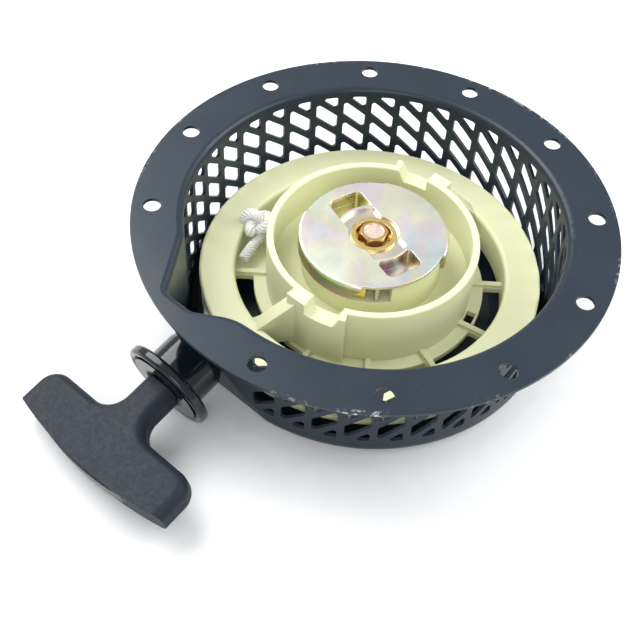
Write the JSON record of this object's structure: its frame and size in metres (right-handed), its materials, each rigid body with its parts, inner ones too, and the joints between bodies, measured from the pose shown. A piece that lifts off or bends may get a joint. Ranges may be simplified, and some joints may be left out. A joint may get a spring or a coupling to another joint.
{
  "type": "recoil starter",
  "caption": "Recoil starter of a small air-cooled engine: round grilled steel case, nylon rope reel with pawls and friction plate, and a T-shaped pull handle on a rope.",
  "frame": {"origin": "on the reel's axis, in the plane of the mounting flange's face", "axes": "+Z along the reel's axis towards the engine, +X to the side where the rope leaves, +Y completes the right-handed frame"},
  "size_m": [0.2665, 0.214, 0.062],
  "materials": {
    "case_paint": "satin black enamel on deep-drawn steel",
    "eyelet_plastic": "gloss black",
    "turned_steel": "turned, lightly oiled",
    "yellow_zinc": "yellow passivated zinc",
    "clear_zinc": "blue-white zinc with rainbow passivation",
    "spring_steel": "oiled spring steel",
    "reel_nylon": "natural nylon, pale yellow-green",
    "bronze": "sintered bronze",
    "rope_fibre": "white laid nylon rope",
    "grip_plastic": "fine-textured charcoal"
  },
  "bodies": {
    "case": {"starter_case": "case_paint", "outlet_cup": "case_paint", "rope_eyelet": "eyelet_plastic", "spindle": "turned_steel", "thrust_washer": "turned_steel", "centre_bolt": "yellow_zinc", "cup_washer": "yellow_zinc", "rope_lead": "rope_fibre"},
    "reel": {"reel": "reel_nylon", "reel_bush": "bronze", "mainspring": "spring_steel", "stop_pins": "turned_steel", "friction_spring": "spring_steel", "pawl_spring_a": "spring_steel", "pawl_spring_b": "spring_steel", "rope_winding": "rope_fibre", "rope_knot": "rope_fibre"},
    "friction_plate": {"friction_plate": "clear_zinc"},
    "pawl_a": {"pawl_a": "yellow_zinc"},
    "pawl_b": {"pawl_b": "yellow_zinc"},
    "handle": {"handle_grip": "grip_plastic", "handle_cap": "grip_plastic", "knot_washer": "turned_steel", "rope_end_knot": "rope_fibre"}
  },
  "joints": [
    {"name": "reel_spin", "type": "hinge", "parent": "case", "child": "reel", "pos_m": [0, 0, -0.03], "axis": [0, 0, 1], "range_deg": [0, 730], "stiffness_Nm_per_rad": 0.04, "springref_deg": -343.77, "deforming": ["mainspring"]},
    {"name": "handle_pull", "type": "slide", "parent": "case", "child": "handle", "axis": [0.9986, 0.0523, 0], "range_m": [0, 0.9], "deforming": ["rope_lead"]},
    {"name": "friction_plate_turn", "type": "hinge", "parent": "reel", "child": "friction_plate", "pos_m": [0, 0, -0.0139], "axis": [0, 0, 1], "range_deg": [-35, 0]},
    {"name": "pawl_a_swing", "type": "hinge", "parent": "reel", "child": "pawl_a", "pos_m": [0.02596, 0.00136, -0.02], "axis": [0, 0, 1], "range_deg": [-28, 0], "deforming": ["pawl_spring_a"]},
    {"name": "pawl_b_swing", "type": "hinge", "parent": "reel", "child": "pawl_b", "pos_m": [-0.02596, -0.00136, -0.02], "axis": [0, 0, 1], "range_deg": [-28, 0], "deforming": ["pawl_spring_b"]}
  ],
  "couplings": [
    {"joint": "handle_pull", "follows": "reel_spin", "m_per_rad": 0.0706},
    {"joint": "pawl_a_swing", "follows": "friction_plate_turn", "ratio": 0.8},
    {"joint": "pawl_b_swing", "follows": "friction_plate_turn", "ratio": 0.8}
  ]
}
